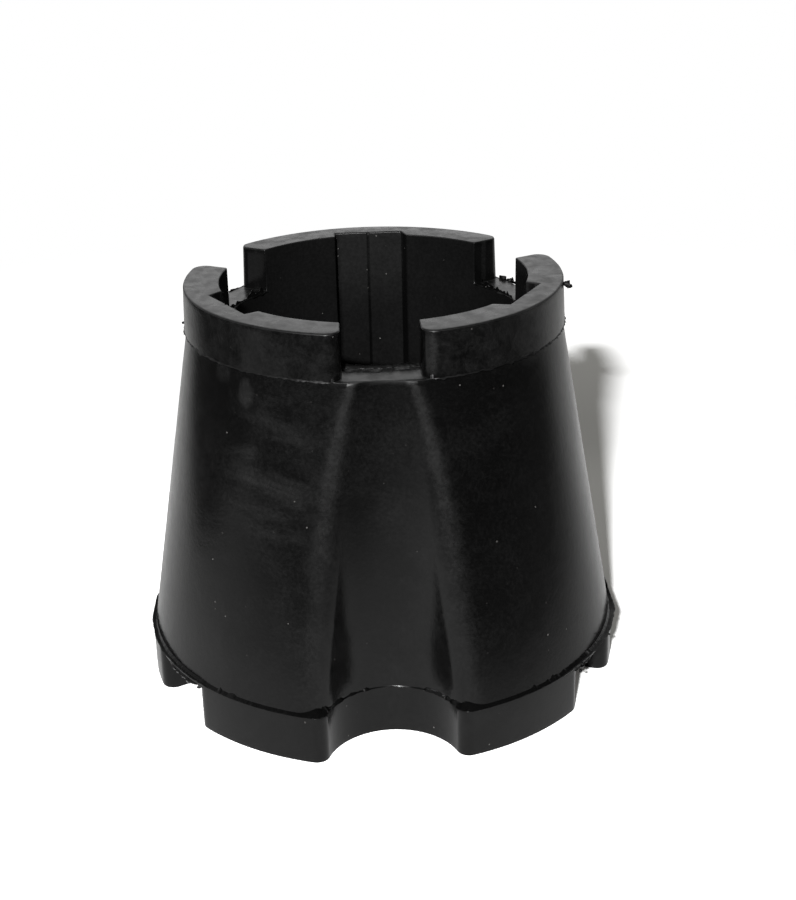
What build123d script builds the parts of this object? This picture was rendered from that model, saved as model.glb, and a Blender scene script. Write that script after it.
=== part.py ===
"""Vibration damper: one moulded rubber sleeve that flares from a collar to a foot.

The axis is Z and the underside of the foot is at Z = 0. Both ends are castellated: the
collar has three notches, and the foot has three gaps half a pitch away from them. Below
each notch a round flute runs down the skirt and on through the foot. Inside, above each
gap, a flat-floored groove runs the whole height of the bore.
"""
import os
from math import radians, tan

from build123d import *

# Driving dimensions, in millimetres and degrees
HEIGHT = 100.0
FOOT_DIAMETER = 119.0
FOOT_HEIGHT = 12.0
FOOT_STEP = 0.75            # ledge that the foot leaves outside the skirt
TOP_DIAMETER = 91.0
COLLAR_HEIGHT = 11.0
COLLAR_DRAFT = 0.5          # how much the collar's radius grows towards its lower edge
WALL = 8.5                  # between the bore and the top rim of the collar
SLOT_WIDTH = 17.5           # notches of the collar and gaps of the foot
GAP_ROOF = 1.0              # web left between the roof of a gap and the top of the foot
GROOVE_WIDTH = 17.5         # across a groove's flat floor
GROOVE_DEPTH = 2.5
GROOVE_FLARE = 18.0         # angle at which one side of each groove opens towards the bore
NICK_WIDTH = 0.8            # fine nick down the middle of each groove's floor
NICK_DEPTH = 0.5
FLUTE_RADIUS = 16.0
FLUTE_BITE = 1.5            # depth of a flute at the upper edge of the skirt
SHOULDER_RADIUS = 7.0       # where a flute runs out into the skirt
LEG_CORNER = 3.0            # upright outer corners of the foot
COLLAR_CORNER = 3.0         # upright outer corners of the collar
EDGE_BREAK = 0.5            # bevel of the outer edge of each end face

# Places about the axis: the front flute and its notch face -Y
SECTORS = 3
FLUTE_ANGLE = -90.0
GAP_ANGLE = FLUTE_ANGLE + 180 / SECTORS

# Sizes that follow
foot_radius = FOOT_DIAMETER / 2
top_radius = TOP_DIAMETER / 2
collar_low_radius = top_radius + COLLAR_DRAFT
bore_radius = top_radius - WALL
skirt_top = HEIGHT - COLLAR_HEIGHT
skirt_height = skirt_top - FOOT_HEIGHT
gap_height = FOOT_HEIGHT - GAP_ROOF
flute_centre = top_radius - FLUTE_BITE + FLUTE_RADIUS
groove_floor = bore_radius + GROOVE_DEPTH
groove_half = GROOVE_WIDTH / 2
groove_start = bore_radius - groove_half
groove_flare_half = groove_half + (groove_floor - groove_start) * tan(radians(GROOVE_FLARE))


def flutes(mode=Mode.ADD):
    """Circles of the flutes, in a sketch."""
    with PolarLocations(flute_centre, SECTORS, start_angle=FLUTE_ANGLE):
        Circle(FLUTE_RADIUS, mode=mode)


def slots(angle, far):
    """Bars of the slot width that cut a sketch from the axis out to far."""
    with PolarLocations(far / 2, SECTORS, start_angle=angle):
        Rectangle(far, SLOT_WIDTH, mode=Mode.SUBTRACT)


def grooves():
    """Sections of the grooves and their nicks, in a sketch: one side of each flares."""
    with PolarLocations(0, SECTORS, start_angle=GAP_ANGLE):
        Polygon(
            (groove_start, -groove_flare_half),
            (groove_floor, -groove_half),
            (groove_floor, -NICK_WIDTH / 2),
            (groove_floor + NICK_DEPTH, 0),
            (groove_floor, NICK_WIDTH / 2),
            (groove_floor, groove_half),
            (groove_start, groove_half),
            align=None,
        )


def rim_corners(section, radius):
    """Corners of a section that lie on its outer circle."""
    return section.vertices().filter_by(lambda corner: Vector(corner.X, corner.Y).length > radius - 0.01)


def shoulder_edges(part):
    """The long edges in which the flutes meet the cone, without the cone's own seam."""
    long_edges = part.edges().filter_by(lambda edge: edge.bounding_box().size.Z > skirt_height / 2)
    return long_edges.filter_by(GeomType.LINE, reverse=True)


# Collar: a castellated ring, cut back to a slight draft and a bevelled rim
with BuildPart() as collar:
    with BuildSketch(Plane.XY.offset(skirt_top)) as merlons:
        Circle(collar_low_radius)
        slots(FLUTE_ANGLE, TOP_DIAMETER)
        fillet(rim_corners(merlons, collar_low_radius), COLLAR_CORNER)
    extrude(amount=COLLAR_HEIGHT)
    with BuildSketch(Plane.XZ):
        Polygon(
            (0, skirt_top),
            (collar_low_radius, skirt_top),
            (top_radius, HEIGHT - EDGE_BREAK),
            (top_radius - EDGE_BREAK, HEIGHT),
            (0, HEIGHT),
            align=None,
        )
    revolve(axis=Axis.Z, mode=Mode.INTERSECT)

# Skirt: a cone with the flutes cut straight down through it
with BuildPart() as skirt:
    with Locations((0, 0, FOOT_HEIGHT)):
        Cone(
            foot_radius - FOOT_STEP,
            top_radius,
            skirt_height,
            align=(Align.CENTER, Align.CENTER, Align.MIN),
        )
    with BuildSketch(Plane.XY.offset(FOOT_HEIGHT)):
        flutes()
    extrude(amount=skirt_height, mode=Mode.SUBTRACT)
    fillet(shoulder_edges(skirt), SHOULDER_RADIUS)

# Foot: legs between the gaps, and a thin web that closes the gaps above
with BuildPart() as foot:
    with BuildSketch() as legs:
        Circle(foot_radius)
        flutes(mode=Mode.SUBTRACT)
        slots(GAP_ANGLE, FOOT_DIAMETER)
        fillet(rim_corners(legs, foot_radius), LEG_CORNER)
    extrude(amount=gap_height)
    with BuildSketch(Plane.XZ):
        Polygon(
            (0, 0),
            (foot_radius - EDGE_BREAK, 0),
            (foot_radius, EDGE_BREAK),
            (foot_radius, gap_height),
            (0, gap_height),
            align=None,
        )
    revolve(axis=Axis.Z, mode=Mode.INTERSECT)
    with BuildSketch(Plane.XY.offset(gap_height)) as web:
        Circle(foot_radius)
        flutes(mode=Mode.SUBTRACT)
        fillet(rim_corners(web, foot_radius), LEG_CORNER)
    extrude(amount=GAP_ROOF)

# The moulding: the three together, opened by the bore and its grooves
with BuildPart() as damper_body:
    add(collar.part)
    add(skirt.part)
    add(foot.part)
    with BuildSketch():
        Circle(bore_radius)
        grooves()
    extrude(amount=HEIGHT, mode=Mode.SUBTRACT)

os.makedirs("parts", exist_ok=True)

damper_body.part.label = "damper_body"
export_step(damper_body.part, "parts/damper_body.step")
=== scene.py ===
"""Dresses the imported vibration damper: rubber, moulding flash, floor, light and camera."""
from functools import partial
from math import acos, asin, atan2, cos, degrees, exp, hypot, pi, radians, sin, sqrt, tan

import bmesh
import bpy
from mathutils import Matrix, Vector, kdtree, noise
from mathutils.geometry import tessellate_polygon


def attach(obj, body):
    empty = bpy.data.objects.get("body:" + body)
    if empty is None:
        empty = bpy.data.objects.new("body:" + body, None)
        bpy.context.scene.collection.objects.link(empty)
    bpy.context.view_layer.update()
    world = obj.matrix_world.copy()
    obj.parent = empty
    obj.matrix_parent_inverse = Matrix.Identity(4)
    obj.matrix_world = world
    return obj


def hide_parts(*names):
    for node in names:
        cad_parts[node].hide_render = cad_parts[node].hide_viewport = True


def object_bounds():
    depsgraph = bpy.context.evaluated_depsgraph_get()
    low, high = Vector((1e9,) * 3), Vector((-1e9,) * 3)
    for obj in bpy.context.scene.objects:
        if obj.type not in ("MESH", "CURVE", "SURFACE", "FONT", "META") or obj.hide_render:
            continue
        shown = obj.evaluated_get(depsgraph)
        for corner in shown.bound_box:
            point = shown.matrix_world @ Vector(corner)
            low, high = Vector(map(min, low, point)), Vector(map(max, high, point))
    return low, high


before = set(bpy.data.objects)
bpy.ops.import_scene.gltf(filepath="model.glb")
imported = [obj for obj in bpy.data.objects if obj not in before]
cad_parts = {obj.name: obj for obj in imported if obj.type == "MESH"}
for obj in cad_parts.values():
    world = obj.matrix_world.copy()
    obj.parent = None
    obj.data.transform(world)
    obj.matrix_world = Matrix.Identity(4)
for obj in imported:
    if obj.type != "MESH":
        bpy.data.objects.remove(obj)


def plain_box():
    """The whole object's box as two plain lists."""
    low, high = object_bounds()
    return [list(low), list(high)]


cad_box = plain_box()

MM = 0.001

# The moulding's sizes, in millimetres, as in the part's source
HEIGHT = 100.0
FOOT_RADIUS = 59.5
FOOT_TOP = 12.0
ROOF = 11.0                 # of the gaps
SKIRT_LOW = 58.75
SKIRT_HIGH = 45.5
SKIRT_TOP = 89.0
COLLAR_LOW = 46.0
COLLAR_HIGH = 45.5
BORE = 37.0
HALF_SLOT = 8.75            # half the width of a notch, a gap and a groove's floor
GROOVE_FLOOR = 39.5
GROOVE_FLARE = 18.0         # degrees by which one side of a groove opens
NICK_HALF = 0.4             # half the width of the nick in a groove's floor
NICK_DEPTH = 0.5
FLUTE_CENTRE = 60.0
FLUTE = 16.0
FOOT_FLUTE = 15.8           # the foot's flute stands a little proud of the skirt's
SHOULDER = 7.0
CORNER = 3.0                # round upright corners of the foot and the collar
SECTORS = 3
FLUTE_ANGLE = -90.0
HALF_PITCH = pi / SECTORS

# Columns of the body's mesh in half a sector, from the middle of a flute to the middle of a gap
FLUTE_COLUMNS = 18
SHOULDER_COLUMNS = 12
NOTCH_COLUMNS = 3           # of the outer arc, up to where the collar's corner crosses it
TURN_COLUMNS = 4            # of the collar's corner outside the skirt
LOBE_COLUMNS = 22
GAP_COLUMNS = 7
ARC_COLUMNS = NOTCH_COLUMNS + TURN_COLUMNS + LOBE_COLUMNS + GAP_COLUMNS

# Columns and rows elsewhere on the body
BEND_COLUMNS = 8            # of the collar's corner, beside the notch
GAP_BEND_COLUMNS = 7        # of a gap's round corner
SIDE_COLUMNS = 4            # of a notch's straight side
WALL_COLUMNS = 8            # of a gap's side
RUN_COLUMNS = 3             # of each side of a groove
BED_COLUMNS = 5             # of a groove's floor on each side of its nick
BORE_COLUMNS = 14           # between a notch and a groove
NOTCH_BORE_COLUMNS = 12     # across a notch
SKIRT_ROWS = 46
LOW_ROWS = 7                # below the gaps' roofs
MIDDLE_ROWS = 44
HIGH_ROWS = 7               # of the collar
LEDGE_LIFT = 0.15           # height over which the skirt's foot slopes out to the ledge
WELD = 0.002                # points closer than this become one


# The body's outlines in one sector: x to the side of the flute's middle, y away from the axis

def lerp(first, second, part):
    return first + (second - first) * part


def spaced(low, high, count):
    """Evenly spaced values from low to high, both included."""
    return [lerp(low, high, step / count) for step in range(count + 1)]


def around(radius, angle):
    return (radius * sin(angle), radius * cos(angle))


def shoulder_angle(radius, bend, flute):
    """Angle from the flute's middle at which its shoulder meets the outer circle."""
    inner = radius - bend
    return acos((inner ** 2 + FLUTE_CENTRE ** 2 - (flute + bend) ** 2) / (2 * FLUTE_CENTRE * inner))


def outline(radius, bend, flute, stops):
    """Half an outline: the flute, its shoulder, and the outer arc with its columns at the stops."""
    meets = shoulder_angle(radius, bend, flute)
    cx, cy = around(radius - bend, meets)
    turn = atan2(cx, FLUTE_CENTRE - cy)
    points = []
    for step in range(FLUTE_COLUMNS):
        angle = turn * step / FLUTE_COLUMNS
        points.append((flute * sin(angle), FLUTE_CENTRE - flute * cos(angle)))
    start = atan2(-cx, FLUTE_CENTRE - cy)
    for step in range(SHOULDER_COLUMNS):
        angle = lerp(start, meets, step / SHOULDER_COLUMNS)
        points.append((cx + bend * sin(angle), cy + bend * cos(angle)))
    for stop in stops:
        points.append(around(radius, lerp(meets, HALF_PITCH, stop)))
    return points


def corner_centre(radius):
    """Centre of a round corner beside a slot, from the slot's middle line."""
    side = HALF_SLOT + CORNER
    return side, sqrt((radius - CORNER) ** 2 - side ** 2)


def collar_outline(radius):
    """Half the collar's outline: the round corner beside the notch, and the outer arc."""
    cx, cy = corner_centre(radius)
    end = atan2(cx, cy)
    points = []
    for step in range(BEND_COLUMNS):
        angle = lerp(-pi / 2, collar_crossing, step / BEND_COLUMNS)
        points.append((cx + CORNER * sin(angle), cy + CORNER * cos(angle)))
    for step in range(TURN_COLUMNS):
        angle = lerp(collar_crossing, end, step / TURN_COLUMNS)
        points.append((cx + CORNER * sin(angle), cy + CORNER * cos(angle)))
    rest = LOBE_COLUMNS + GAP_COLUMNS
    for step in range(rest + 1):
        points.append(around(radius, lerp(end, HALF_PITCH, step / rest)))
    return points


# Where the collar's corner leaves the skirt's upper rim
low_side, low_reach = corner_centre(COLLAR_LOW)
collar_arm = COLLAR_LOW - CORNER
cross_cos = (SKIRT_HIGH ** 2 - collar_arm ** 2 - CORNER ** 2) / (2 * collar_arm * CORNER)
collar_crossing = atan2(low_side, low_reach) - acos(cross_cos)
cross_point = (low_side + CORNER * sin(collar_crossing), low_reach + CORNER * cos(collar_crossing))
cross_angle = atan2(*cross_point)

# Where the gap's round corner meets the foot's circle
gap_side, gap_reach = corner_centre(FOOT_RADIUS)
gap_turn = atan2(gap_side, gap_reach)
gap_angle = HALF_PITCH - gap_turn

# Where a groove's flared side reaches the bore, in the groove's own frame
lean = tan(radians(GROOVE_FLARE))
flare_a = 1 + lean ** 2
flare_b = GROOVE_FLOOR - HALF_SLOT * lean
flare_c = GROOVE_FLOOR ** 2 + HALF_SLOT ** 2 - BORE ** 2
flare_run = (flare_b - sqrt(flare_b ** 2 - flare_a * flare_c)) / flare_a
flare_end = (GROOVE_FLOOR - flare_run, HALF_SLOT + flare_run * lean)
square_end = (sqrt(BORE ** 2 - HALF_SLOT ** 2), HALF_SLOT)

# Stops of the outer arc's columns, as parts of the way from the shoulder to the gap's middle
foot_meets = shoulder_angle(FOOT_RADIUS, CORNER, FOOT_FLUTE)
foot_gap = (gap_angle - foot_meets) / (HALF_PITCH - foot_meets)
before_gap = ARC_COLUMNS - GAP_COLUMNS
foot_stops = [foot_gap * step / before_gap for step in range(before_gap)]
foot_stops += spaced(foot_gap, 1, GAP_COLUMNS)
foot_line = outline(FOOT_RADIUS, CORNER, FOOT_FLUTE, foot_stops)

top_meets = shoulder_angle(SKIRT_HIGH, SHOULDER, FLUTE)
top_cross = (cross_angle - top_meets) / (HALF_PITCH - top_meets)
past_cross = ARC_COLUMNS - NOTCH_COLUMNS
top_stops = [top_cross * step / NOTCH_COLUMNS for step in range(NOTCH_COLUMNS)]
top_stops += spaced(top_cross, 1, past_cross)


def skirt_outline(z):
    """Half the skirt's outline at a height."""
    part = (z - FOOT_TOP) / (SKIRT_TOP - FOOT_TOP)
    stops = [lerp(low, high, max(0, part)) for low, high in zip(foot_stops, top_stops)]
    return outline(lerp(SKIRT_LOW, SKIRT_HIGH, part), SHOULDER, FLUTE, stops)


# Shell: faces in millimetres, welded into one mesh at the end

class Shell:
    """Faces on their way to a mesh."""

    def __init__(self):
        self.points = []
        self.faces = []

    def face(self, points):
        start = len(self.points)
        self.points += points
        self.faces.append(list(range(start, len(self.points))))

    def grid(self, rows):
        """Four-sided faces between rows of points."""
        for upper, lower in zip(rows, rows[1:]):
            for first in range(len(upper) - 1):
                self.face([upper[first], upper[first + 1], lower[first + 1], lower[first]])

    def mesh(self, name):
        """The faces as one mesh, welded, with all its faces turned outwards."""
        mesh = bpy.data.meshes.new(name)
        mesh.from_pydata(self.points, [], self.faces)
        made = bmesh.new()
        made.from_mesh(mesh)
        bmesh.ops.remove_doubles(made, verts=made.verts, dist=WELD)
        bmesh.ops.recalc_face_normals(made, faces=made.faces)
        made.to_mesh(mesh)
        made.free()
        return mesh


LOW_LEVELS = spaced(0.0, ROOF, LOW_ROWS)
MIDDLE_LEVELS = spaced(ROOF, SKIRT_TOP, MIDDLE_ROWS)
HIGH_LEVELS = spaced(SKIRT_TOP, HEIGHT, HIGH_ROWS)


def heading_of(sector):
    return radians(FLUTE_ANGLE + 360 / SECTORS * sector)


def sector_spot(heading, point, z, side=1):
    """A point of half an outline, laid in its place round the axis, on one side of a sector's middle."""
    x, y = point[0] * side, point[1]
    return (y * cos(heading) - x * sin(heading), y * sin(heading) + x * cos(heading), z)


def gap_spot(heading, side, reach, aside, z):
    """A point in the frame of the gap on one side of a sector."""
    turned = heading + HALF_PITCH * side
    return (reach * cos(turned) - aside * sin(turned), reach * sin(turned) + aside * cos(turned), z)


def notch_side(line):
    """A notch's straight side, from the bore out to where the collar's outline starts."""
    return [(HALF_SLOT, reach) for reach in spaced(square_end[0], line[0][1], SIDE_COLUMNS)[:-1]]


def body_shell():
    """The moulding's whole surface, sector by sector."""
    shell = Shell()
    leg_columns = FLUTE_COLUMNS + SHOULDER_COLUMNS + before_gap
    corner = []
    for step in range(GAP_BEND_COLUMNS + 1):
        angle = lerp(gap_turn, -pi / 2, step / GAP_BEND_COLUMNS)
        corner.append((gap_side + CORNER * sin(angle), gap_reach + CORNER * cos(angle)))
    wall = spaced(gap_reach, GROOVE_FLOOR, WALL_COLUMNS)
    square_run = spaced(GROOVE_FLOOR, square_end[0], RUN_COLUMNS)
    for sector in range(SECTORS):
        heading = heading_of(sector)

        def row(points, z, side=1):
            return [sector_spot(heading, point, z, side) for point in points]

        def next_row(points, z):
            """Points of the next sector's first half, for the faces that reach across the gap."""
            return [sector_spot(heading + 2 * HALF_PITCH, point, z, -1) for point in points]

        def beside_gap(reach, aside, z):
            """A point in the frame of the gap that ends this sector."""
            return gap_spot(heading, 1, reach, aside, z)

        for side in (-1, 1):
            # Skirt, its sloping ledge, and the foot's upper band
            rows = [row(foot_line, ROOF, side), row(foot_line, FOOT_TOP, side)]
            for z in spaced(FOOT_TOP + LEDGE_LIFT, SKIRT_TOP, SKIRT_ROWS):
                rows.append(row(skirt_outline(z), z, side))
            shell.grid(rows)
            # Leg: the outer wall, the gap's corner and its side
            shell.grid([row(foot_line[:leg_columns + 1], z, side) for z in LOW_LEVELS])
            rows = []
            for z in LOW_LEVELS:
                spots = [(y, -x * side) for x, y in corner]
                spots += [(reach, -HALF_SLOT * side) for reach in wall[1:]]
                if side == -1:
                    spots += [(reach, HALF_SLOT) for reach in square_run[1:]]
                rows.append([gap_spot(heading, side, reach, aside, z) for reach, aside in spots])
            shell.grid(rows)
            # Collar
            rows = []
            for z in HIGH_LEVELS:
                radius = lerp(COLLAR_LOW, COLLAR_HIGH, (z - SKIRT_TOP) / (HEIGHT - SKIRT_TOP))
                line = collar_outline(radius)
                rows.append(row(notch_side(line) + line, z, side))
            shell.grid(rows)
            # The collar's overhang
            skirt_rim = skirt_outline(SKIRT_TOP)[FLUTE_COLUMNS + SHOULDER_COLUMNS + NOTCH_COLUMNS:]
            collar_rim = collar_outline(COLLAR_LOW)[BEND_COLUMNS:]
            shell.grid([row(skirt_rim, SKIRT_TOP, side), row(collar_rim, SKIRT_TOP, side)])

        # Bore, between one groove's square side and the next one's flared side
        notch_edge = asin(HALF_SLOT / BORE)
        flare_angle = HALF_PITCH - atan2(flare_end[1], flare_end[0])
        left = spaced(notch_edge - HALF_PITCH, -notch_edge, BORE_COLUMNS)
        middle = spaced(-notch_edge, notch_edge, NOTCH_BORE_COLUMNS)
        right = spaced(notch_edge, flare_angle, BORE_COLUMNS)
        turns = left + middle[1:] + right[1:]
        bore_line = [around(BORE, turn) for turn in turns]
        shell.grid([row(bore_line, z) for z in LOW_LEVELS + MIDDLE_LEVELS[1:]])
        for part in (left, right):
            shell.grid([row([around(BORE, turn) for turn in part], z) for z in HIGH_LEVELS])

        # Groove above the gap that ends this sector
        flared_reach = spaced(flare_end[0], GROOVE_FLOOR, RUN_COLUMNS)
        flared = list(zip(flared_reach, spaced(-flare_end[1], -HALF_SLOT, RUN_COLUMNS)))
        squared = [(reach, HALF_SLOT) for reach in square_run]
        bed = [(GROOVE_FLOOR, aside) for aside in spaced(-HALF_SLOT, -NICK_HALF, BED_COLUMNS)]
        bed += [(GROOVE_FLOOR + NICK_DEPTH, 0)]
        bed += [(GROOVE_FLOOR, aside) for aside in spaced(NICK_HALF, HALF_SLOT, BED_COLUMNS)]
        all_levels = LOW_LEVELS + MIDDLE_LEVELS[1:] + HIGH_LEVELS[1:]
        shell.grid([[beside_gap(*spot, z) for spot in flared] for z in all_levels])
        upper = MIDDLE_LEVELS + HIGH_LEVELS[1:]
        shell.grid([[beside_gap(*spot, z) for spot in bed] for z in upper])
        shell.grid([[beside_gap(*spot, z) for spot in squared] for z in upper])

        # Notch's floor
        rim = skirt_outline(SKIRT_TOP)[:FLUTE_COLUMNS + SHOULDER_COLUMNS + NOTCH_COLUMNS + 1]
        bend = collar_outline(COLLAR_LOW)[:BEND_COLUMNS]
        half = rim[1:] + bend[::-1] + notch_side(bend)[:0:-1]
        loop = row([rim[0]] + half, SKIRT_TOP)
        loop += row([around(BORE, turn) for turn in middle[::-1]], SKIRT_TOP)
        loop += row(half[::-1], SKIRT_TOP, -1)
        shell.face(loop)

        # Top of the merlon
        top = collar_outline(COLLAR_HIGH)
        top = notch_side(top) + top
        loop = row(top, HEIGHT) + next_row(top[::-1][1:], HEIGHT)
        back = [around(BORE, -turn) for turn in left[::-1]]
        loop += next_row(back[1:], HEIGHT)
        loop += [beside_gap(*spot, HEIGHT) for spot in squared[::-1][1:-1]]
        loop += [beside_gap(*spot, HEIGHT) for spot in bed[::-1]]
        loop += [beside_gap(*spot, HEIGHT) for spot in flared[::-1][1:]]
        loop += row([around(BORE, turn) for turn in right[::-1][1:-1]], HEIGHT)
        shell.face(loop)

        # Roof of the gap
        line = foot_line[leg_columns:]
        loop = row(line, ROOF) + next_row(line[::-1][1:], ROOF)
        loop += [beside_gap(y, x, ROOF) for x, y in corner[1:]]
        loop += [beside_gap(reach, HALF_SLOT, ROOF) for reach in wall[1:-1]]
        loop += [beside_gap(*spot, ROOF) for spot in bed[::-1]]
        loop += [beside_gap(reach, -HALF_SLOT, ROOF) for reach in wall[::-1][1:]]
        loop += [beside_gap(y, -x, ROOF) for x, y in corner[::-1][1:-1]]
        shell.face(loop)

        # Underside of the leg
        def leg_side(side):
            spots = row(foot_line[1:leg_columns + 1], 0, side)
            spots += [gap_spot(heading, side, y, -x * side, 0) for x, y in corner[1:]]
            run = wall[1:] + (square_run[1:-1] if side == -1 else [])
            spots += [gap_spot(heading, side, reach, -HALF_SLOT * side, 0) for reach in run]
            return spots

        loop = row(foot_line[:1], 0) + leg_side(1)
        loop += [beside_gap(*spot, 0) for spot in flared[::-1][1:]]
        loop += row(bore_line[::-1][1:], 0)
        loop += leg_side(-1)[::-1]
        shell.face(loop)
    return shell


# Shader helpers

def new_material(name):
    """A new material and its node tree, emptied."""
    material = bpy.data.materials.new(name)
    material.use_nodes = True
    tree = material.node_tree
    for old in list(tree.nodes):
        tree.nodes.remove(old)
    return material, tree


def node(tree, kind, **values):
    made = tree.nodes.new(kind)
    for key, value in values.items():
        setattr(made, key, value)
    return made


def feed(tree, socket, value):
    """Links another node's output to a socket, or sets the socket to a plain value."""
    if hasattr(value, "links"):
        tree.links.new(value, socket)
    else:
        socket.default_value = value


def math(tree, operation, first, *rest):
    """An operation over several values from left to right, or over one."""
    for value in rest or (0.0,):
        made = node(tree, "ShaderNodeMath", operation=operation)
        feed(tree, made.inputs[0], first)
        feed(tree, made.inputs[1], value)
        first = made.outputs[0]
    return first


def sums(tree):
    """Sum, difference, product, largest and smallest of values, all in one node tree."""
    return [partial(math, tree, kind) for kind in ("ADD", "SUBTRACT", "MULTIPLY", "MAXIMUM", "MINIMUM")]


def fade(tree, value, start, end, low=0.0, high=1.0, way="SMOOTHSTEP"):
    """low before start, high after end, smooth between unless the way is LINEAR."""
    made = node(tree, "ShaderNodeMapRange", interpolation_type=way)
    feed(tree, made.inputs["Value"], value)
    for name, number in ("From Min", start), ("From Max", end), ("To Min", low), ("To Max", high):
        made.inputs[name].default_value = number
    return made.outputs[0]


def fade_mm(tree, value, start, end, low=0.0, high=1.0):
    """fade() over a length, with its start and end in millimetres."""
    return fade(tree, value, start * MM, end * MM, low, high)


def blend(tree, factor, first, second, kind="FLOAT"):
    """first where the factor is 0 and second where it is 1: numbers, or colours where the kind is RGBA."""
    made = node(tree, "ShaderNodeMix", data_type=kind)
    feed(tree, made.inputs["Factor"], factor)
    feed(tree, made.inputs["A"], first)
    feed(tree, made.inputs["B"], second)
    return made.outputs["Result"]


def grain(tree, place, scale, detail=2.0, distortion=0.0, roughness=0.5):
    """Noise from 0 to 1; scale is in waves per metre."""
    made = node(tree, "ShaderNodeTexNoise")
    tree.links.new(place, made.inputs["Vector"])
    made.inputs["Scale"].default_value = scale
    made.inputs["Detail"].default_value = detail
    made.inputs["Distortion"].default_value = distortion
    made.inputs["Roughness"].default_value = roughness
    return made.outputs["Fac"]


def stretched(tree, place, scale, turn=(0, 0, 0)):
    made = node(tree, "ShaderNodeMapping")
    tree.links.new(place, made.inputs["Vector"])
    made.inputs["Scale"].default_value = scale
    made.inputs["Rotation"].default_value = turn
    return made.outputs["Vector"]


def split(tree, vector):
    """The x, y and z of a vector."""
    made = node(tree, "ShaderNodeSeparateXYZ")
    tree.links.new(vector, made.inputs[0])
    return made.outputs["X"], made.outputs["Y"], made.outputs["Z"]


def length(tree, vector):
    made = node(tree, "ShaderNodeVectorMath", operation="LENGTH")
    tree.links.new(vector, made.inputs[0])
    return made.outputs["Value"]


def from_axis(tree, place):
    """Distance from the upright axis, in metres."""
    return length(tree, stretched(tree, place, (1, 1, 0)))


def near(tree, place, centre, half):
    """0 at the centre of an oval and 1 on its surface; centre and half sizes are in millimetres."""
    for operation, sizes in ("SUBTRACT", centre), ("DIVIDE", half):
        made = node(tree, "ShaderNodeVectorMath", operation=operation)
        tree.links.new(place, made.inputs[0])
        made.inputs[1].default_value = [size * MM for size in sizes]
        place = made.outputs[0]
    return length(tree, place)


# Linear colours of the rubber: bare, in full bloom (also the grey of its painted highlights), and the dust
# on it
BARE = (0.0018, 0.0018, 0.0018, 1)
BLOOM_AND_LIGHT_GREY = (0.034, 0.034, 0.034, 1)
DUST = (0.42, 0.41, 0.39, 1)

# Ovals with more or less bloom than the rest: centre, half sizes, and how much more; all but the paler ovals
# on the left are painted light and painted shade
MARKS = (
    ((-35.4, -29.1, 87.0), (3.2, 3.8, 3.0), 0.10),      # paler ovals on the left
    ((-30.3, -35.2, 84.0), (2.6, 3.2, 4.4), 0.18),
    # painted light on the tops and the collar on the right
    ((40.0, -8.0, 100.0), (20.0, 45.0, 4.0), 0.16),     # tops on the right
    ((36.0, -28.0, 94.0), (9.0, 14.0, 9.0), 0.16),      # collar on the right
    # painted highlight on the collar's corner beside the front notch
    ((10.9, -43.2, 94.5), (1.9, 2.6, 8.0), 0.14),       # its corner beside the front notch
    # painted shade in the corners of the front notch's floor
    ((-8.75, -41.0, 89.0), (3.4, 9.0, 1.5), -0.5),      # corners of the front notch's floor
    ((8.75, -41.0, 89.0), (4.4, 9.0, 1.5), -0.5),
    # painted shade on the end of the back collar piece on the left
    ((-31.1, 28.1, 94.5), (6.0, 6.0, 8.0), -0.1),       # end of the back collar piece on the left
)


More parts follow.
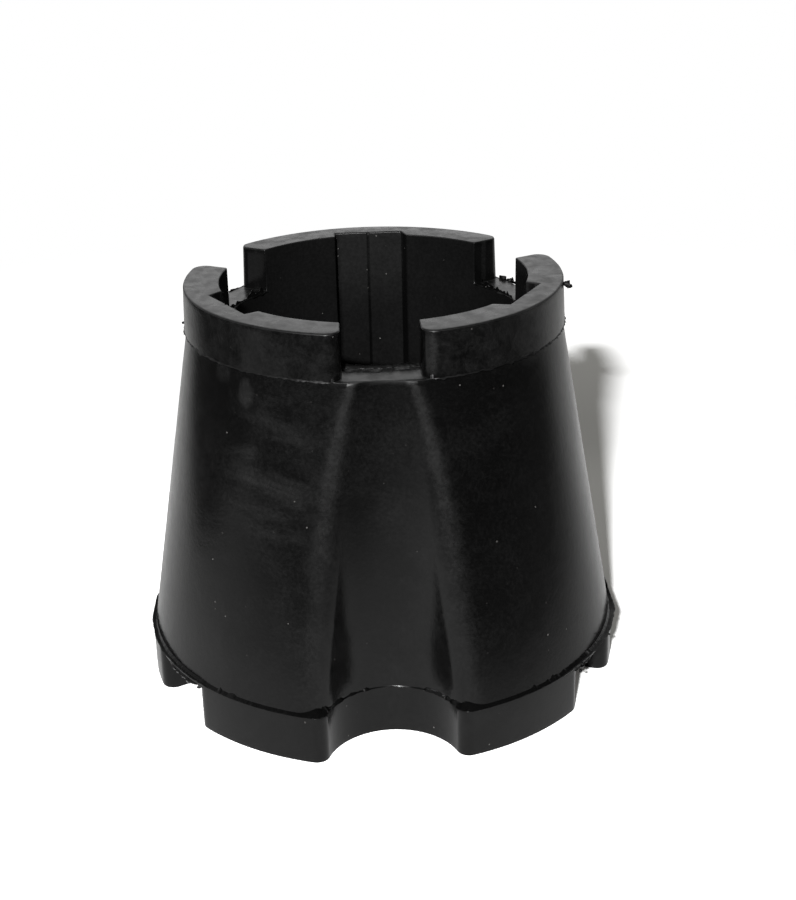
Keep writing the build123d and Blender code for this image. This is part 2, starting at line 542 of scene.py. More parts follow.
def rubber():
    """Black rubber: fine skin grain, a greyer bloom where it is handled, specks of dust, and painted light
    and shade: highlights along the flutes' crests and on some ovals, shade in the grooves and on others.
    """
    material, tree = new_material("rubber")
    add, less, times, most, least = sums(tree)
    ramp, ramp_mm = partial(fade, tree), partial(fade_mm, tree)
    shader = node(tree, "ShaderNodeBsdfPrincipled")
    out = node(tree, "ShaderNodeOutputMaterial")
    tree.links.new(shader.outputs[0], out.inputs[0])
    place = node(tree, "ShaderNodeTexCoord").outputs["Object"]
    level = split(tree, place)[2]
    upwards = split(tree, node(tree, "ShaderNodeNewGeometry").outputs["Normal"])[2]
    reach = from_axis(tree, place)

    cloud = grain(tree, place, 55, 4.0, 0.6)
    mottle = grain(tree, place, 260, 5.0, 0.4, 0.65)
    fine = grain(tree, place, 1300, 3.0)
    streaks = grain(tree, stretched(tree, place, (0.35, 0.35, 1.3), (0.0, 0.6, 0.0)), 120, 3.0, 0.5, 0.6)
    painted_light_and_torn = node(tree, "ShaderNodeAttribute", attribute_name="highlight_shade_torn").outputs["Fac"]
    flat_top = ramp(upwards, 0.75, 0.98)

    # Bloom: all over in faint clouds, though less inside
    bloom_and_painted_light = times(ramp(cloud, 0.35, 0.75), 0.05)
    for source, amount in (fine, 0.18), (mottle, 0.08):
        bloom_and_painted_light = add(bloom_and_painted_light, times(less(source, 0.5), amount))
    bloom_and_painted_light = times(bloom_and_painted_light, ramp_mm(reach, GROOVE_FLOOR + 1, GROOVE_FLOOR + 2, 0.45, 1.0))
    # More where hands have been, and on the collar; paler towards the top in the bore and on the grooves'
    # beds; painted highlight along the flutes' crests
    handled = ramp(near(tree, place, (-25, -42, 66), (17, 26, 27)), 0.2, 1.0, 1.0, 0.0)
    handled = times(handled, ramp(streaks, 0.42, 0.72, 0.0, 0.20))
    collar = times(
        ramp_mm(level, SKIRT_TOP - 0.5, SKIRT_TOP + 0.5),
        ramp_mm(reach, COLLAR_HIGH - 1.0, COLLAR_HIGH - 0.3),
        ramp(mottle, 0.25, 0.80, 0.0, 0.09),
    )
    bore = times(ramp_mm(reach, BORE + 0.5, BORE + 1.0, 0.08, 0.0), ramp_mm(level, 40, 80))
    bed = times(
        ramp_mm(reach, GROOVE_FLOOR - 0.5, GROOVE_FLOOR - 0.1),
        ramp_mm(reach, GROOVE_FLOOR + 1.0, GROOVE_FLOOR + 1.3, 0.22, 0.0),
        ramp_mm(level, 74, 94, 0.4, 1.0),
    )
    # Painted highlight along the flutes' crests, from the attribute's positive values
    crest_highlight = times(most(painted_light_and_torn, 0.0), ramp(mottle, 0.25, 0.75, 0.65, 1.0), 0.32)
    bloom_and_painted_light = add(bloom_and_painted_light, handled, collar, bore, bed, crest_highlight)
    for centre, half, depth in MARKS:
        bloom_and_painted_light = add(bloom_and_painted_light, ramp(near(tree, place, centre, half), 0.45, 1.0, depth, 0.0))
    # Most on the top faces; the attribute's negative values, painted shade in the grooves and bare torn
    # flash, take it away
    high = ramp_mm(level, SKIRT_TOP + 1.0, HEIGHT - 0.5, 0.29, 1.22)
    bloom_and_painted_light = add(bloom_and_painted_light, times(flat_top, high, ramp(mottle, 0.25, 0.75, 0.15, 0.95)))
    bloom_and_painted_light = times(bloom_and_painted_light, ramp(fine, 0.3, 0.7, 0.88, 1.12))
    bloom_and_painted_light = most(add(bloom_and_painted_light, least(painted_light_and_torn, 0.0)), 0.0)

    # Dust: sparse pale specks of several sizes
    cells = node(tree, "ShaderNodeTexVoronoi")
    tree.links.new(place, cells.inputs["Vector"])
    cells.inputs["Scale"].default_value = 400
    spread = node(tree, "ShaderNodeSeparateColor")
    tree.links.new(cells.outputs["Color"], spread.inputs[0])
    speck = math(tree, "LESS_THAN", cells.outputs["Distance"], ramp(spread.outputs[0], 0.5, 1.0, 0.0, 0.09))
    speck = times(speck, ramp(spread.outputs[1], 0.3, 1.0, 0.02, 0.20))
    shade = blend(tree, bloom_and_painted_light, BARE, BLOOM_AND_LIGHT_GREY, "RGBA")
    tree.links.new(blend(tree, speck, shade, DUST, "RGBA"), shader.inputs["Base Color"])

    # Roughness: rims, torn edges and the front notch's floor are rougher than the moulded skin
    rough = add(ramp(mottle, 0.3, 0.7, 0.17, 0.23), times(bloom_and_painted_light, 0.12))
    rough = add(rough, times(flat_top, ramp(mottle, 0.3, 0.7, 0.02, 0.12)))
    notch_floor = near(tree, place, (0.0, -41.0, SKIRT_TOP), (16.0, 9.0, 1.5))
    rough = add(rough, ramp(notch_floor, 0.45, 1.0, 0.12, 0.0))
    off_seam = math(tree, "ABSOLUTE", less(level, (SKIRT_TOP + 0.1) * MM))
    rim = most(ramp_mm(level, HEIGHT - 1.0, HEIGHT - 0.7), ramp_mm(off_seam, 0.6, 0.9, 1.0, 0.0))
    rim = times(rim, ramp(upwards, 0.22, 0.40), less(1.0, flat_top))
    torn = ramp(painted_light_and_torn, -0.9, -0.5, 1.0, 0.0)
    rough = add(rough, most(times(rim, 0.3), times(torn, 0.4)))
    tree.links.new(rough, shader.inputs["Roughness"])
    shader.inputs["Specular IOR Level"].default_value = 0.28
    shader.inputs["IOR"].default_value = 1.5

    # Grain, coarser on flash
    skin = node(tree, "ShaderNodeBump")
    skin.inputs["Strength"].default_value = 0.35
    skin.inputs["Distance"].default_value = 0.06 * MM
    grainy = ramp(painted_light_and_torn, -0.35, -0.25, 1.0, 0.0)
    height = add(times(fine, ramp(grainy, 0.0, 1.0, 1.0, 3.5)), times(mottle, 1.6))
    tree.links.new(height, skin.inputs["Height"])
    tree.links.new(skin.outputs[0], shader.inputs["Normal"])
    return material


rubber_material = rubber()


# The body: rounded, slightly uneven, and marked with its painted highlights and painted shade

noise.seed_set(1)           # without it, noise_vector gives other values in each run
EDGE_ROUND = 0.5            # the rounding of an edge that takes all of it
RUNS_ON = radians(27)       # edges that turn less than this stay as they are
SAME_LEVEL = 0.01

# Corners where three edges meet at a narrow angle: place in the sector, and height
PINCHES = ((cross_point, SKIRT_TOP), (around(FOOT_RADIUS, gap_angle), ROOF))


def unit(value):
    """The value, held between 0 and 1."""
    return min(1, max(0, value))


def polar(spot, middle):
    """Distance from the axis, and angle from the nearest of three even headings, one of them middle."""
    turn = atan2(spot.y, spot.x) - middle
    return hypot(spot.x, spot.y), (turn + HALF_PITCH) % (2 * HALF_PITCH) - HALF_PITCH


def edge_weight(edge):
    """How much of the rounding an edge takes: none where the surface runs on, little where edges pinch."""
    if len(edge.link_faces) != 2 or edge.calc_face_angle(0) < RUNS_ON:
        return 0
    first, second = [vertex.co for vertex in edge.verts]
    middle = (first + second) / 2
    reach, turn = polar(middle, heading_of(0))
    side, ahead = around(reach, abs(turn))
    weight = 0.6
    if abs(first.z - second.z) < SAME_LEVEL:
        if middle.z > HEIGHT - SAME_LEVEL:
            weight = lerp(0.6, 1, unit((reach - 38.5) / 3))
        elif FOOT_TOP - 0.2 < middle.z < FOOT_TOP + 1:
            weight = 0.2
        elif abs(middle.z - SKIRT_TOP) < SAME_LEVEL:
            weight = 0.2 if reach > SKIRT_HIGH + 0.05 else 0.3
        elif abs(middle.z - ROOF) < SAME_LEVEL and reach > GROOVE_FLOOR + 4:
            weight = 0.25
    if BORE + 2 < reach < BORE + 4 and abs(turn) > HALF_PITCH - radians(1):
        weight = 0.4
    for (x, y), z in PINCHES:
        if abs(middle.z - z) < 0.6:
            weight = min(weight, max(0, hypot(side - x, ahead - y) - 0.4) / 3.5)
    return weight


def cut_flat_faces(made):
    """Cuts the many-cornered flat faces into triangles."""
    many = [face for face in made.faces if len(face.verts) > 4]
    for face in many:
        corners = list(face.verts)
        facing = face.normal.copy()
        cuts = tessellate_polygon([[corner.co for corner in corners]])
        made.faces.remove(face)
        for cut in cuts:
            triangle = [corners[index] for index in cut]
            if len(set(triangle)) < 3 or made.faces.get(triangle):
                continue
            fresh = made.faces.new(triangle)
            fresh.normal_update()
            if fresh.normal.dot(facing) < 0:
                fresh.normal_flip()


def painted_crest_share(spot):
    """How much painted highlight a point of the skirt takes: most along the crests of the flutes' shoulders.
    """
    reach, turn = polar(spot, heading_of(0))
    if not FOOT_TOP + 0.3 < spot.z < SKIRT_TOP - 0.05 or reach < GROOVE_FLOOR + 3:
        return 0
    side, ahead = around(reach, abs(turn))
    part = (spot.z - FOOT_TOP) / (SKIRT_TOP - FOOT_TOP)
    radius = lerp(SKIRT_LOW, SKIRT_HIGH, part)
    meets = shoulder_angle(radius, SHOULDER, FLUTE)
    cx, cy = around(radius - SHOULDER, meets)
    start = atan2(-cx, FLUTE_CENTRE - cy)
    share = -1 if ahead < cy - 1 else (atan2(side - cx, ahead - cy) - start) / (meets - start)
    wide = 0.32 + 0.12 * noise.noise(spot / 9)
    return exp(-((share - 0.62) / wide) ** 2) * lerp(0.15, 1.0, part)


def groove_shade_share(spot):
    """How much bloom a groove loses to painted shade: at its nick, in its corners and on its flared side."""
    reach, turn = polar(spot, heading_of(0) + HALF_PITCH)
    if reach > GROOVE_FLOOR + 2 or reach < BORE + 0.3:
        return 0
    deep, aside = reach * cos(turn), reach * sin(turn)
    if abs(aside) < NICK_HALF + 0.1:
        return 0.12 * unit((deep - GROOVE_FLOOR - 0.05) / 0.3)
    if aside > HALF_SLOT - 0.5:
        return 0.12
    if aside < -HALF_SLOT - 0.02:
        return 0.15
    return 0


def hold_inside(vertices):
    """Moves points, in metres, back into the moulding's own box."""
    low, high = cad_box
    for vertex in vertices:
        for axis in range(3):
            vertex.co[axis] = min(max(vertex.co[axis], low[axis]), high[axis])


def build_body():
    """The moulding: its shell with rounded edges, a slight sway in it, and the places of its painted
    highlights and painted shade marked.
    """
    mesh = body_shell().mesh("moulding")
    made = bmesh.new()
    made.from_mesh(mesh)
    weights = made.edges.layers.float.new("bevel_weight_edge")
    for edge in made.edges:
        edge[weights] = edge_weight(edge)
    made.to_mesh(mesh)
    made.free()
    body = bpy.data.objects.new("moulding", mesh)
    bpy.context.scene.collection.objects.link(body)
    rounding = body.modifiers.new("rounding", "BEVEL")
    rounding.limit_method = "WEIGHT"
    rounding.width = EDGE_ROUND
    rounding.segments = 2
    rounding.use_clamp_overlap = False
    rounding.miter_outer = "MITER_SHARP"
    bpy.context.view_layer.objects.active = body
    bpy.ops.object.select_all(action="DESELECT")
    body.select_set(True)
    bpy.ops.object.modifier_apply(modifier="rounding")
    mesh = body.data
    made = bmesh.new()
    made.from_mesh(mesh)
    made.normal_update()
    cut_flat_faces(made)
    for vertex in made.verts:
        spot = vertex.co
        sway = noise.noise_vector(spot / 13) * 0.05 + noise.noise_vector(spot / 3.1) * 0.012
        vertex.co = Vector((spot.x + sway.x, spot.y + sway.y, spot.z))
    bmesh.ops.scale(made, vec=(MM, MM, MM), verts=made.verts)
    hold_inside(made.verts)
    # The attribute: painted highlight along the flutes' crests, minus painted shade in the grooves
    highlight_shade_torn = made.verts.layers.float.new("highlight_shade_torn")
    for vertex in made.verts:
        spot = vertex.co / MM
        vertex[highlight_shade_torn] = painted_crest_share(spot) - groove_shade_share(spot)
    for face in made.faces:
        face.smooth = True
    made.to_mesh(mesh)
    made.free()
    normals = body.modifiers.new("normals", "WEIGHTED_NORMAL")
    normals.keep_sharp = True
    bpy.ops.object.modifier_apply(modifier="normals")
    body.data.materials.append(rubber_material)
    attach(body, "root")
    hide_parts("damper_body")


build_body()


# Moulding flash: closed ragged strips and crumbs along the parting lines

PITCH = 0.35                # between the stations along a strip
FINE_PITCH = 0.3
SHARP = radians(50)         # edges of flash that turn more than this aren't smoothed over


def sector_line(half, sector, side):
    """Half an outline, laid in its place round the axis."""
    return [Vector(sector_spot(heading_of(sector), point, 0, side)[:2]) for point in half]


def whole_line(half):
    """A closed line round the axis, from half an outline."""
    line = []
    for sector in range(SECTORS):
        line += sector_line(half, sector, -1)[:0:-1] + sector_line(half, sector, 1)[:-1]
    return line


def stations(line, closed, pitch):
    """Evenly spaced places along a line, each with the way that faces out of the moulding."""
    ends = line + line[:1] if closed else line
    runs = [(second - first).length for first, second in zip(ends, ends[1:])]
    count = int(sum(runs) / pitch)
    step = sum(runs) / count
    spots = []
    index, behind = 0, 0.0
    for number in range(count if closed else count + 1):
        far = number * step
        while index < len(runs) - 1 and far > behind + runs[index]:
            behind += runs[index]
            index += 1
        spots.append(ends[index].lerp(ends[index + 1], min(1, (far - behind) / runs[index])))
    made = []
    for number, spot in enumerate(spots):
        if closed:
            before, after = spots[number - 2], spots[(number + 2) % len(spots)]
        else:
            before, after = spots[max(0, number - 2)], spots[min(len(spots) - 1, number + 2)]
        ahead = (after - before).normalized()
        made.append((spot, Vector((ahead.y, -ahead.x))))
    return made


def arc(radius, start, end, steps):
    """Stations along a circle round the axis, between two angles in degrees."""
    for step in range(steps + 1):
        turn = radians(lerp(start, end, step / steps))
        out = Vector((cos(turn), sin(turn)))
        yield out * radius, out


def degrees_of(spot):
    return degrees(atan2(spot.y, spot.x)) % 360


def along(table, angle):
    """A table's value at an angle, between its entries; the table's angles rise from 0 to 360 degrees."""
    for (first, low), (second, high) in zip(table, table[1:]):
        if first <= angle <= second:
            return lerp(low, high, (angle - first) / (second - first))
    return 0.0


def ragged(seed, spot, pitch):
    """Ragged noise from 0 to 1 that varies over about the pitch, in millimetres."""
    at = Vector((spot.x / pitch + 7.3 * seed, spot.y / pitch - 3.1 * seed, 1.7 * seed))
    value = noise.noise(at) + 0.5 * noise.noise(at * 2.3)
    return unit(0.5 + 0.8 * value)


def side_room(spot, out):
    """How far flash on the foot may stand out before it leaves the moulding's box at the side."""
    return (FOOT_RADIUS - 0.06 - abs(spot.x)) / max(0.02, abs(out.x))


def ring(spot, out, z, section):
    """A section of a strip at a station; its points are given as far out and up from there."""
    return [(spot.x + out.x * far, spot.y + out.y * far, z + up) for far, up in section]


def strip(shell, rings, closed=False):
    """Faces between rings, with both ends shut unless the strip closes on itself."""
    for first, second in zip(rings, rings[1:] + rings[:1] if closed else rings[1:]):
        for step in range(len(first)):
            after = (step + 1) % len(first)
            shell.face([first[step], first[after], second[after], second[step]])
    if not closed:
        shell.face(rings[0])
        shell.face(rings[-1])


foot_rim = whole_line(foot_line)

# How thick the torn line above the foot is, and how far flash stands out and up, by angle in degrees
LEDGE = (
    (0, 0.8), (14, 0.5), (30, 0.1), (36, 0.8), (44, 0.3), (70, 0.7), (90, 0.2), (110, 0.6), (138, 0.8),
    (150, 0.1), (166, 0.7), (200, 0.9), (221, 0.8), (230, 0.6), (236, 0.35), (238.5, 0.1), (240, 0.35),
    (245, 0.4), (248, 0.12), (250, 0.15), (251, 0.95), (256, 0.9), (257.8, 0.7), (263, 0.85), (264, 0.1),
    (268, 0.0), (275.5, 0.0), (277, 0.35), (279, 0.25), (280.2, 0.9), (287.5, 1.0), (288.5, 0.5),
    (292, 0.4), (294, 0.12), (296, 0.45), (304, 0.5), (306, 0.85), (324, 1.0), (330, 0.6), (360, 0.8),
)
FINS_OUT = (
    (0, 0), (170, 0), (188, 0.15), (196, 0.5), (202, 0.7), (206, 0.6), (211, 0.45), (217, 0.4), (222, 0.2),
    (224, 0), (313, 0), (318, 0.15), (322, 0.3), (326, 0.45), (330, 0.75), (334, 1.0), (340, 1.0),
    (346, 0.9), (352, 0.8), (360, 0.4),
)
FINS_UP = (
    (0, 1.2), (6, 1.1), (12, 0.7), (15, 0), (170, 0), (176, 0.7), (184, 1.0), (194, 0.9), (202, 0.6),
    (211, 0.4), (217, 0.45), (222, 0.2), (224, 0), (313, 0), (318, 0.3), (322, 0.35), (328, 0.25),
    (334, 0.3), (342, 0.5), (352, 0.8), (360, 0.9),
)


def ledge_flash():
    """The torn line where the skirt meets the foot: a narrow slope, of uneven height where no fin stands."""
    shell = Shell()
    skirt_line = stations(whole_line(skirt_outline(FOOT_TOP)), True, PITCH)
    tree = kdtree.KDTree(len(skirt_line))
    for number, (spot, _) in enumerate(skirt_line):
        tree.insert((spot.x, spot.y, 0), number)
    tree.balance()
    rings = []
    for spot, out in stations(foot_rim, True, PITCH):
        wide = max(0.2, tree.find((spot.x, spot.y, 0))[2])
        calm = min(1, along(FINS_UP, degrees_of(spot)) / 0.35)
        uneven = lerp(ragged(1, spot, 1.3), 0.5, calm)
        thick = min(1.25, along(LEDGE, degrees_of(spot)) * (0.15 + 1.5 * uneven))
        lip = 0.30 * thick if wide < 0.4 else 0.12 * (ragged(2, spot, 1.1) - 0.6)
        rise = max(0.15 + 0.4 * thick + 0.45 * thick ** 2, 0.7 * wide)
        section = [
            (-wide - 0.17 * rise - 0.5, rise + 0.35),
            (-wide - 0.17 * rise + 0.04, rise),
            (lip, 0.03 - 0.14 * lerp(ragged(3, spot, 0.8), 0.5, calm)),
            (-wide - 0.4, -0.6),
        ]
        rings.append(ring(spot, out, FOOT_TOP, section))
    strip(shell, rings, True)
    return shell


def foot_fins():
    """Thin torn fins that stand up and out from the foot's rim at both sides."""
    runs = [[]]
    for spot, out in stations(foot_rim, True, FINE_PITCH):
        angle = degrees_of(spot)
        rise = along(FINS_UP, angle) * (0.75 + 0.25 * ragged(4, spot, 3.0) + 0.15 * ragged(24, spot, 0.8))
        if rise < 0.05:
            runs.append([])
            continue
        far = along(FINS_OUT, angle) * (0.75 + 0.25 * ragged(5, spot, 3.5)) + 0.18 * ragged(25, spot, 0.9)
        far = min(far, side_room(spot, out))
        thin = 0.10 + 0.12 * ragged(6, spot, 0.8)
        section = [(-0.5, -0.45), (-0.8, 0.1)]
        for step in range(1, 5):
            part = step / 5
            bump = 0.05 * noise.noise(Vector((spot.x / 0.7, spot.y / 0.7, 3.0 * step)))
            section.append((lerp(-0.8, far - thin, part) + bump, lerp(0.15, rise, part ** 1.5) + bump))
        section += [(far - thin, rise), (far, rise - 0.05), (min(0.05, far), -0.25)]
        runs[-1].append(ring(spot, out, FOOT_TOP, section))
    shell = Shell()
    for rings in runs:
        if len(rings) > 3:
            strip(shell, rings)
    return shell


def gap_lips():
    """Lips of flash that hang at the roofs of the three gaps."""
    shell = Shell()
    line = stations(foot_rim, True, FINE_PITCH)
    for start, end, hang, seed in ((206.5, 219.5, 0.9, 7), (318.5, 326, 0.8, 8), (86, 97, 0.6, 9)):
        rings = []
        for spot, out in line:
            part = (degrees_of(spot) - start) / (end - start)
            if not 0 <= part <= 1:
                continue
            drop = hang * (0.15 + 1.0 * ragged(seed, spot, 1.4)) * min(1, 6 * part, 6 * (1 - part))
            far = min(0.45 * drop, side_room(spot, out))
            section = [
                (-0.5, 0.4),
                (0.04, 0.35),
                (far + 0.1, -0.3 * drop),
                (far - 0.12, -drop - 0.04),
                (-0.25, -0.15),
            ]
            rings.append(ring(spot, out, ROOF, section))
        strip(shell, rings)
    return shell


def collar_flash():
    """The torn line under the collar, which eases off towards the notches."""
    shell = Shell()
    half = collar_outline(COLLAR_LOW)[BEND_COLUMNS:]
    for sector in range(SECTORS):
        line = sector_line(half, sector, 1) + sector_line(half, (sector + 1) % SECTORS, -1)[-2::-1]
        rings = []
        places = stations(line, False, FINE_PITCH)
        for number, (spot, out) in enumerate(places):
            ease = min(1, number / 6, (len(places) - 1 - number) / 6)
            torn = ragged(10, spot, 2.1) * ragged(11, spot, 0.9)
            far = (0.04 + 0.5 * torn) * ease
            rise = (0.12 + 0.3 * ragged(12, spot, 1.4)) * ease
            section = [
                (-0.4, rise + 0.3),
                (0.01, rise),
                (far, 0.02 - 0.35 * torn),
                (-0.3, -0.06 - 0.2 * torn),
                (-0.6, 0.0),
            ]
            rings.append(ring(spot, out, SKIRT_TOP, section))
        strip(shell, rings)
    return shell


FIN_RADIUS = 37.7
FIN_STEPS = 60
BIT_STEPS = 80
BIT_EASE = 16               # steps over which a torn bit rises from the floor

# Torn bits that stand along the back notches' edges: start and end in degrees, radius, height and seed
OUTER_EDGE = SKIRT_HIGH - 0.3
INNER_EDGE = BORE + 0.25
NOTCH_BITS = (
    (33.5, 41.5, OUTER_EDGE, 1.0, 20), (139, 144, OUTER_EDGE, 0.5, 21), (19.5, 24, OUTER_EDGE, 0.5, 22),
    (17.5, 42.5, INNER_EDGE, 0.9, 23), (137.5, 162.5, INNER_EDGE, 0.8, 25),
    (35, 43, INNER_EDGE + 0.3, 1.4, 28), (136.8, 146, INNER_EDGE + 0.3, 1.6, 27),
)


def across_notch(radius, sector):
    """Stations from side to side of a notch, just clear of both."""
    middle = degrees(heading_of(sector))
    half = degrees(asin((HALF_SLOT - 0.1) / radius))
    return arc(radius, middle - half, middle + half, FIN_STEPS)


def notch_flash():
    """Ragged flash on the notches' floors: an upright fin in front, flaps and torn bits behind."""
    shell = Shell()
    rings = []
    for spot, out in across_notch(FIN_RADIUS, 0):
        rise = 0.8 + 0.5 * ragged(13, spot, 1.4)
        shift = -0.2 + 0.5 * ragged(14, spot, 2.6)
        step_out = max(0.02, 0.42 * (ragged(16, spot, 1.5) - 0.35))
        tooth = max(step_out, 2.6 * (ragged(15, spot, 2.0) - 0.30))
        section = [
            (shift - 0.6, -0.2),
            (shift - 0.95, rise),
            (shift - 0.85, rise - 0.04),
            (shift - 0.42, 0.50 + 0.3 * step_out),
            (shift - 0.42 + step_out, 0.50),
            (shift - 0.40 + step_out, 0.42),
            (shift - 0.15 + 0.6 * tooth, 0.30),
            (shift + tooth, -0.1),
        ]
        rings.append(ring(spot, out, SKIRT_TOP, section))
    strip(shell, rings)
    # Flaps that reach into the bore
    for sector, seed in ((1, 16), (2, 18)):
        rings = []
        for spot, out in across_notch(BORE, sector):
            far = -0.1 - 1.3 * ragged(seed, spot, 1.6) * ragged(seed + 1, spot, 4.0)
            drop = 0.25 * ragged(seed + 2, spot, 1.0)
            section = [
                (0.5, 0.02),
                (far + 0.2, 0.05 - drop),
                (far, -0.06 - drop),
                (far + 0.3, -0.22 - drop),
                (0.5, -0.4),
            ]
            rings.append(ring(spot, out, SKIRT_TOP, section))
        strip(shell, rings)
    for start, end, radius, tall, seed in NOTCH_BITS:
        rings = []
        for step, (spot, out) in enumerate(arc(radius, start, end, BIT_STEPS)):
            rise = tall * (0.25 + 1.1 * ragged(seed, spot, 1.2) ** 2) * min(1, step / BIT_EASE)
            section = [(-0.2, -0.3), (-0.12, rise), (0.1, rise - 0.05), (0.28, -0.3)]
            rings.append(ring(spot, out, SKIRT_TOP, section))
        strip(shell, rings)
    return shell


# Crumbs of rubber left on the moulding: place and size in millimetres
CRUMBS = (
    ((45.7, -7.9, 98.4), 0.9), ((46.4, -7.0, 97.5), 0.7), ((36.3, 26.9, 89.3), 0.6),
    ((34.9, 28.6, 89.5), 0.7), ((-10.6, -43.4, 88.9), 0.32), ((10.6, -43.2, 88.9), 0.28),
    ((-33.6, 17.4, 88.8), 0.45), ((33.0, 17.6, 88.8), 0.5), ((31.6, 20.6, 88.8), 0.55),
    ((46.2, -38.2, 10.4), 0.45), ((46.8, -37.0, 11.6), 0.35), ((-45.6, -37.4, 10.2), 0.5),
    ((55.6, -24.4, 12.2), 0.3), ((-46.4, 1.2, 89.2), 0.4), ((46.2, 3.4, 89.0), 0.45),
)


def crumbs():
    """Small torn lumps, each a crumpled ball."""
    shell = Shell()
    for number, (centre, size) in enumerate(CRUMBS):
        ball = bmesh.new()
        bmesh.ops.create_icosphere(ball, subdivisions=2, radius=1)
        for vertex in ball.verts:
            way = vertex.co
            swell = 1 + 0.6 * noise.noise(way * 1.7 + Vector((9.1 * number, 0, 0)))
            vertex.co = Vector((way.x, way.y, way.z * 0.8)) * size * swell
        for face in ball.faces:
            shell.face([tuple(vertex.co + Vector(centre)) for vertex in face.verts])
        ball.free()
    return shell


def dress(shell, name, torn):
    """Makes a piece of flash; torn is 0.4 where it is smooth, up to 1 where it is dull."""
    mesh = shell.mesh(name)
    for vertex in mesh.vertices:
        vertex.co *= MM
    hold_inside(mesh.vertices)
    for face in mesh.polygons:
        face.use_smooth = True
    mesh.set_sharp_from_angle(angle=SHARP)
    highlight_shade_torn = mesh.attributes.new("highlight_shade_torn", "FLOAT", "POINT")
    for item in highlight_shade_torn.data:
        item.value = -torn
    mesh.materials.append(rubber_material)
    made = bpy.data.objects.new(name, mesh)
    bpy.context.scene.collection.objects.link(made)
    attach(made, "root")


dress(ledge_flash(), "ledge_flash", 0.4)
dress(foot_fins(), "foot_fins", 0.75)
dress(gap_lips(), "gap_lips", 0.5)
dress(collar_flash(), "collar_flash", 0.5)
dress(notch_flash(), "notch_flash", 0.5)
dress(crumbs(), "crumbs", 0.9)


# Floor: a plain pale sheet. Mirrored in the rubber, it is bright only where the key light falls.

FLOOR_HALF = 4.0


def paper():
    """The sheet's material, with its brightness for the camera, for plain light and for gloss."""
    material, tree = new_material("paper")
    add, less, times, most, least = sums(tree)
    ramp = partial(fade, tree)
    out = node(tree, "ShaderNodeOutputMaterial")
    shader = node(tree, "ShaderNodeBsdfDiffuse")
    place = node(tree, "ShaderNodeNewGeometry").outputs["Position"]
    seen = node(tree, "ShaderNodeLightPath").outputs
    x, y, _ = split(tree, place)
    # In gloss: bright round the part, darker to both sides and towards the camera
    swing = math(tree, "ARCTAN2", add(x, 0.026), add(y, 0.345))
    turned = times(swing, -1.0)
    ahead = times(most(add(y, 0.07), 0.0), 1.4)
    right = ramp(less(swing, ahead), 0.15, 0.60, 1.0, 0.14)
    behind = times(least(less(y, 0.03), 0.0), 4.5)
    left = times(ramp(add(turned, behind), 0.34, 0.52, 1.0, 0.10), ramp(turned, 0.2, 0.5, 1.0, 0.7))
    lit = times(right, left, ramp(y, -0.25, -0.03, 0.07, 0.76), ramp(y, 0.0, 0.14, 1.0, 1.5))
    # To the camera: so pale that it is white, most of all just behind the part and far behind it
    beside = times(ramp(y, 0.0, 0.05, 0.0, 0.35), ramp(y, 0.09, 0.14, 1.0, 0.0))
    whitened = most(add(beside, 1.65), ramp(y, 0.15, 0.35, 1.70, 2.7, "LINEAR"))
    plain = blend(tree, seen["Is Camera Ray"], 0.92, whitened)
    tree.links.new(blend(tree, seen["Is Glossy Ray"], plain, lit), shader.inputs["Color"])
    # It runs out into white away from the part, and keeps the shadow near it
    glow = node(tree, "ShaderNodeEmission")
    glow.inputs["Strength"].default_value = 1.0
    mixed = node(tree, "ShaderNodeMixShader")
    white = times(ramp(from_axis(tree, place), 0.27, 0.42), seen["Is Camera Ray"])
    tree.links.new(white, mixed.inputs[0])
    tree.links.new(shader.outputs[0], mixed.inputs[1])
    tree.links.new(glow.outputs[0], mixed.inputs[2])
    tree.links.new(mixed.outputs[0], out.inputs[0])
    return material


def floor():
    corners = [(x * FLOOR_HALF, y * FLOOR_HALF, 0) for x, y in ((-1, -1), (1, -1), (1, 1), (-1, 1))]
    mesh = bpy.data.meshes.new("floor")
    mesh.from_pydata(corners, [], [(0, 1, 2, 3)])
    mesh.materials.append(paper())
    made = bpy.data.objects.new("floor", mesh)
    bpy.context.scene.collection.objects.link(made)


floor()


# Light: one small lamp, high in front and a little to the left, and a dim room

KEY_AIM = Vector((0, 0, 0.05))
KEY_WAY = Vector((-0.1639, -0.8674, 0.4695))
KEY_FAR = 0.8
KEY_WIDTH = 0.045
KEY_HEIGHT = 0.016
KEY_POWER = 11.4


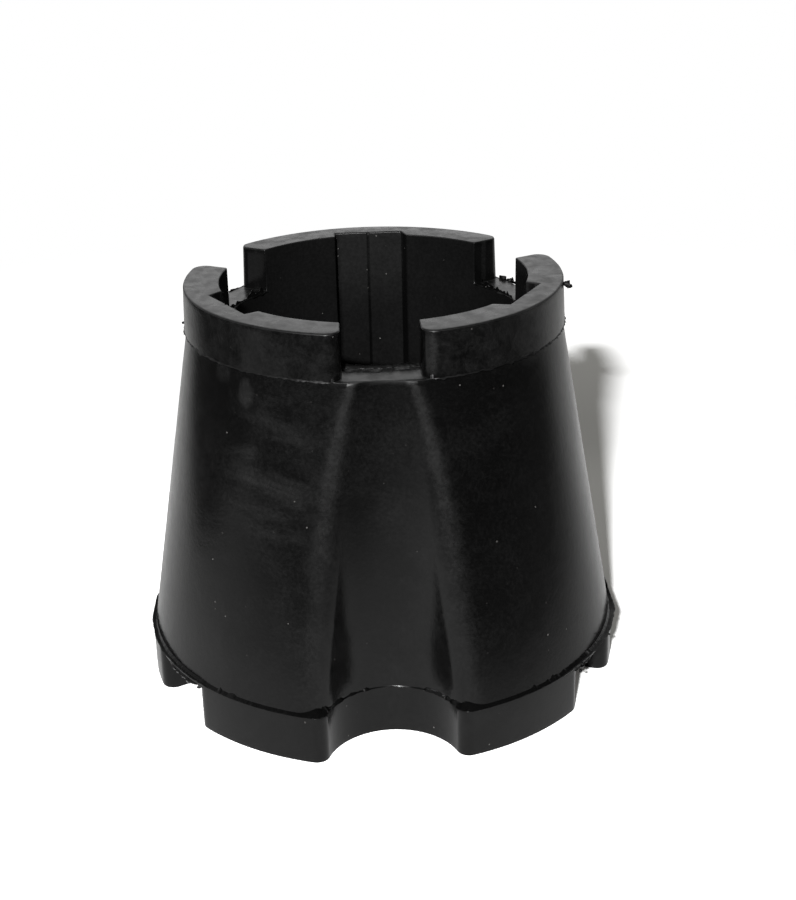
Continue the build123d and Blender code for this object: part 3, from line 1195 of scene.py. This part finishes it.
def key():
    lamp = bpy.data.lights.new("key", "AREA")
    lamp.shape = "ELLIPSE"
    lamp.size = KEY_WIDTH
    lamp.size_y = KEY_HEIGHT
    lamp.energy = KEY_POWER
    made = bpy.data.objects.new("key", lamp)
    made.location = KEY_AIM + KEY_FAR * KEY_WAY
    made.rotation_euler = (-KEY_WAY).to_track_quat("-Z", "Y").to_euler()
    bpy.context.scene.collection.objects.link(made)


def room():
    """Plain light is stronger from the right; gloss is bright behind the part and weak on the left."""
    world = bpy.data.worlds.new("room")
    bpy.context.scene.world = world
    world.use_nodes = True
    tree = world.node_tree
    shader = tree.nodes["Background"]
    seen = node(tree, "ShaderNodeLightPath").outputs
    x, y, _ = split(tree, node(tree, "ShaderNodeTexCoord").outputs["Generated"])
    behind = fade(tree, y, 0.35, 0.8, 0.03, 1.09)
    left = fade(tree, x, -0.9, -0.3, 0.35, 0.0)
    gloss = math(tree, "MAXIMUM", behind, left)
    plain = fade(tree, x, -0.3, 0.9, 0.035, 0.25)
    light = blend(tree, seen["Is Glossy Ray"], plain, gloss)
    tree.links.new(math(tree, "MAXIMUM", light, seen["Is Camera Ray"]), shader.inputs["Strength"])
    direct = math(tree, "MAXIMUM", seen["Is Glossy Ray"], seen["Is Camera Ray"])
    tint = blend(tree, direct, (1, 0.99, 0.93, 1), (1, 1, 1, 1), "RGBA")
    tree.links.new(tint, shader.inputs["Color"])


key()
room()


# Camera: fitted to the photograph

PLACE = Vector((-10.440, -360.886, 205.897)) * MM
RIGHT = Vector((0.99844552, -0.05154762, -0.02119896))
UP = Vector((0.03950906, 0.38628577, 0.9215326))
FORWARD = Vector((0.03931396, 0.92093765, -0.38772189))
SENSOR = 36.0
FOCAL = 1554.832 / 900      # focal length over the picture's height

lens = bpy.data.cameras.new("camera")
lens.sensor_fit = "VERTICAL"
lens.sensor_height = SENSOR
lens.lens = SENSOR * FOCAL
lens.clip_start = 0.01
lens.clip_end = 50
camera = bpy.data.objects.new("camera", lens)
camera.matrix_world = Matrix.Translation(PLACE) @ Matrix((RIGHT, UP, -FORWARD)).transposed().to_4x4()
bpy.context.scene.collection.objects.link(camera)
bpy.context.scene.camera = camera
bpy.context.scene.view_settings.view_transform = "Standard"
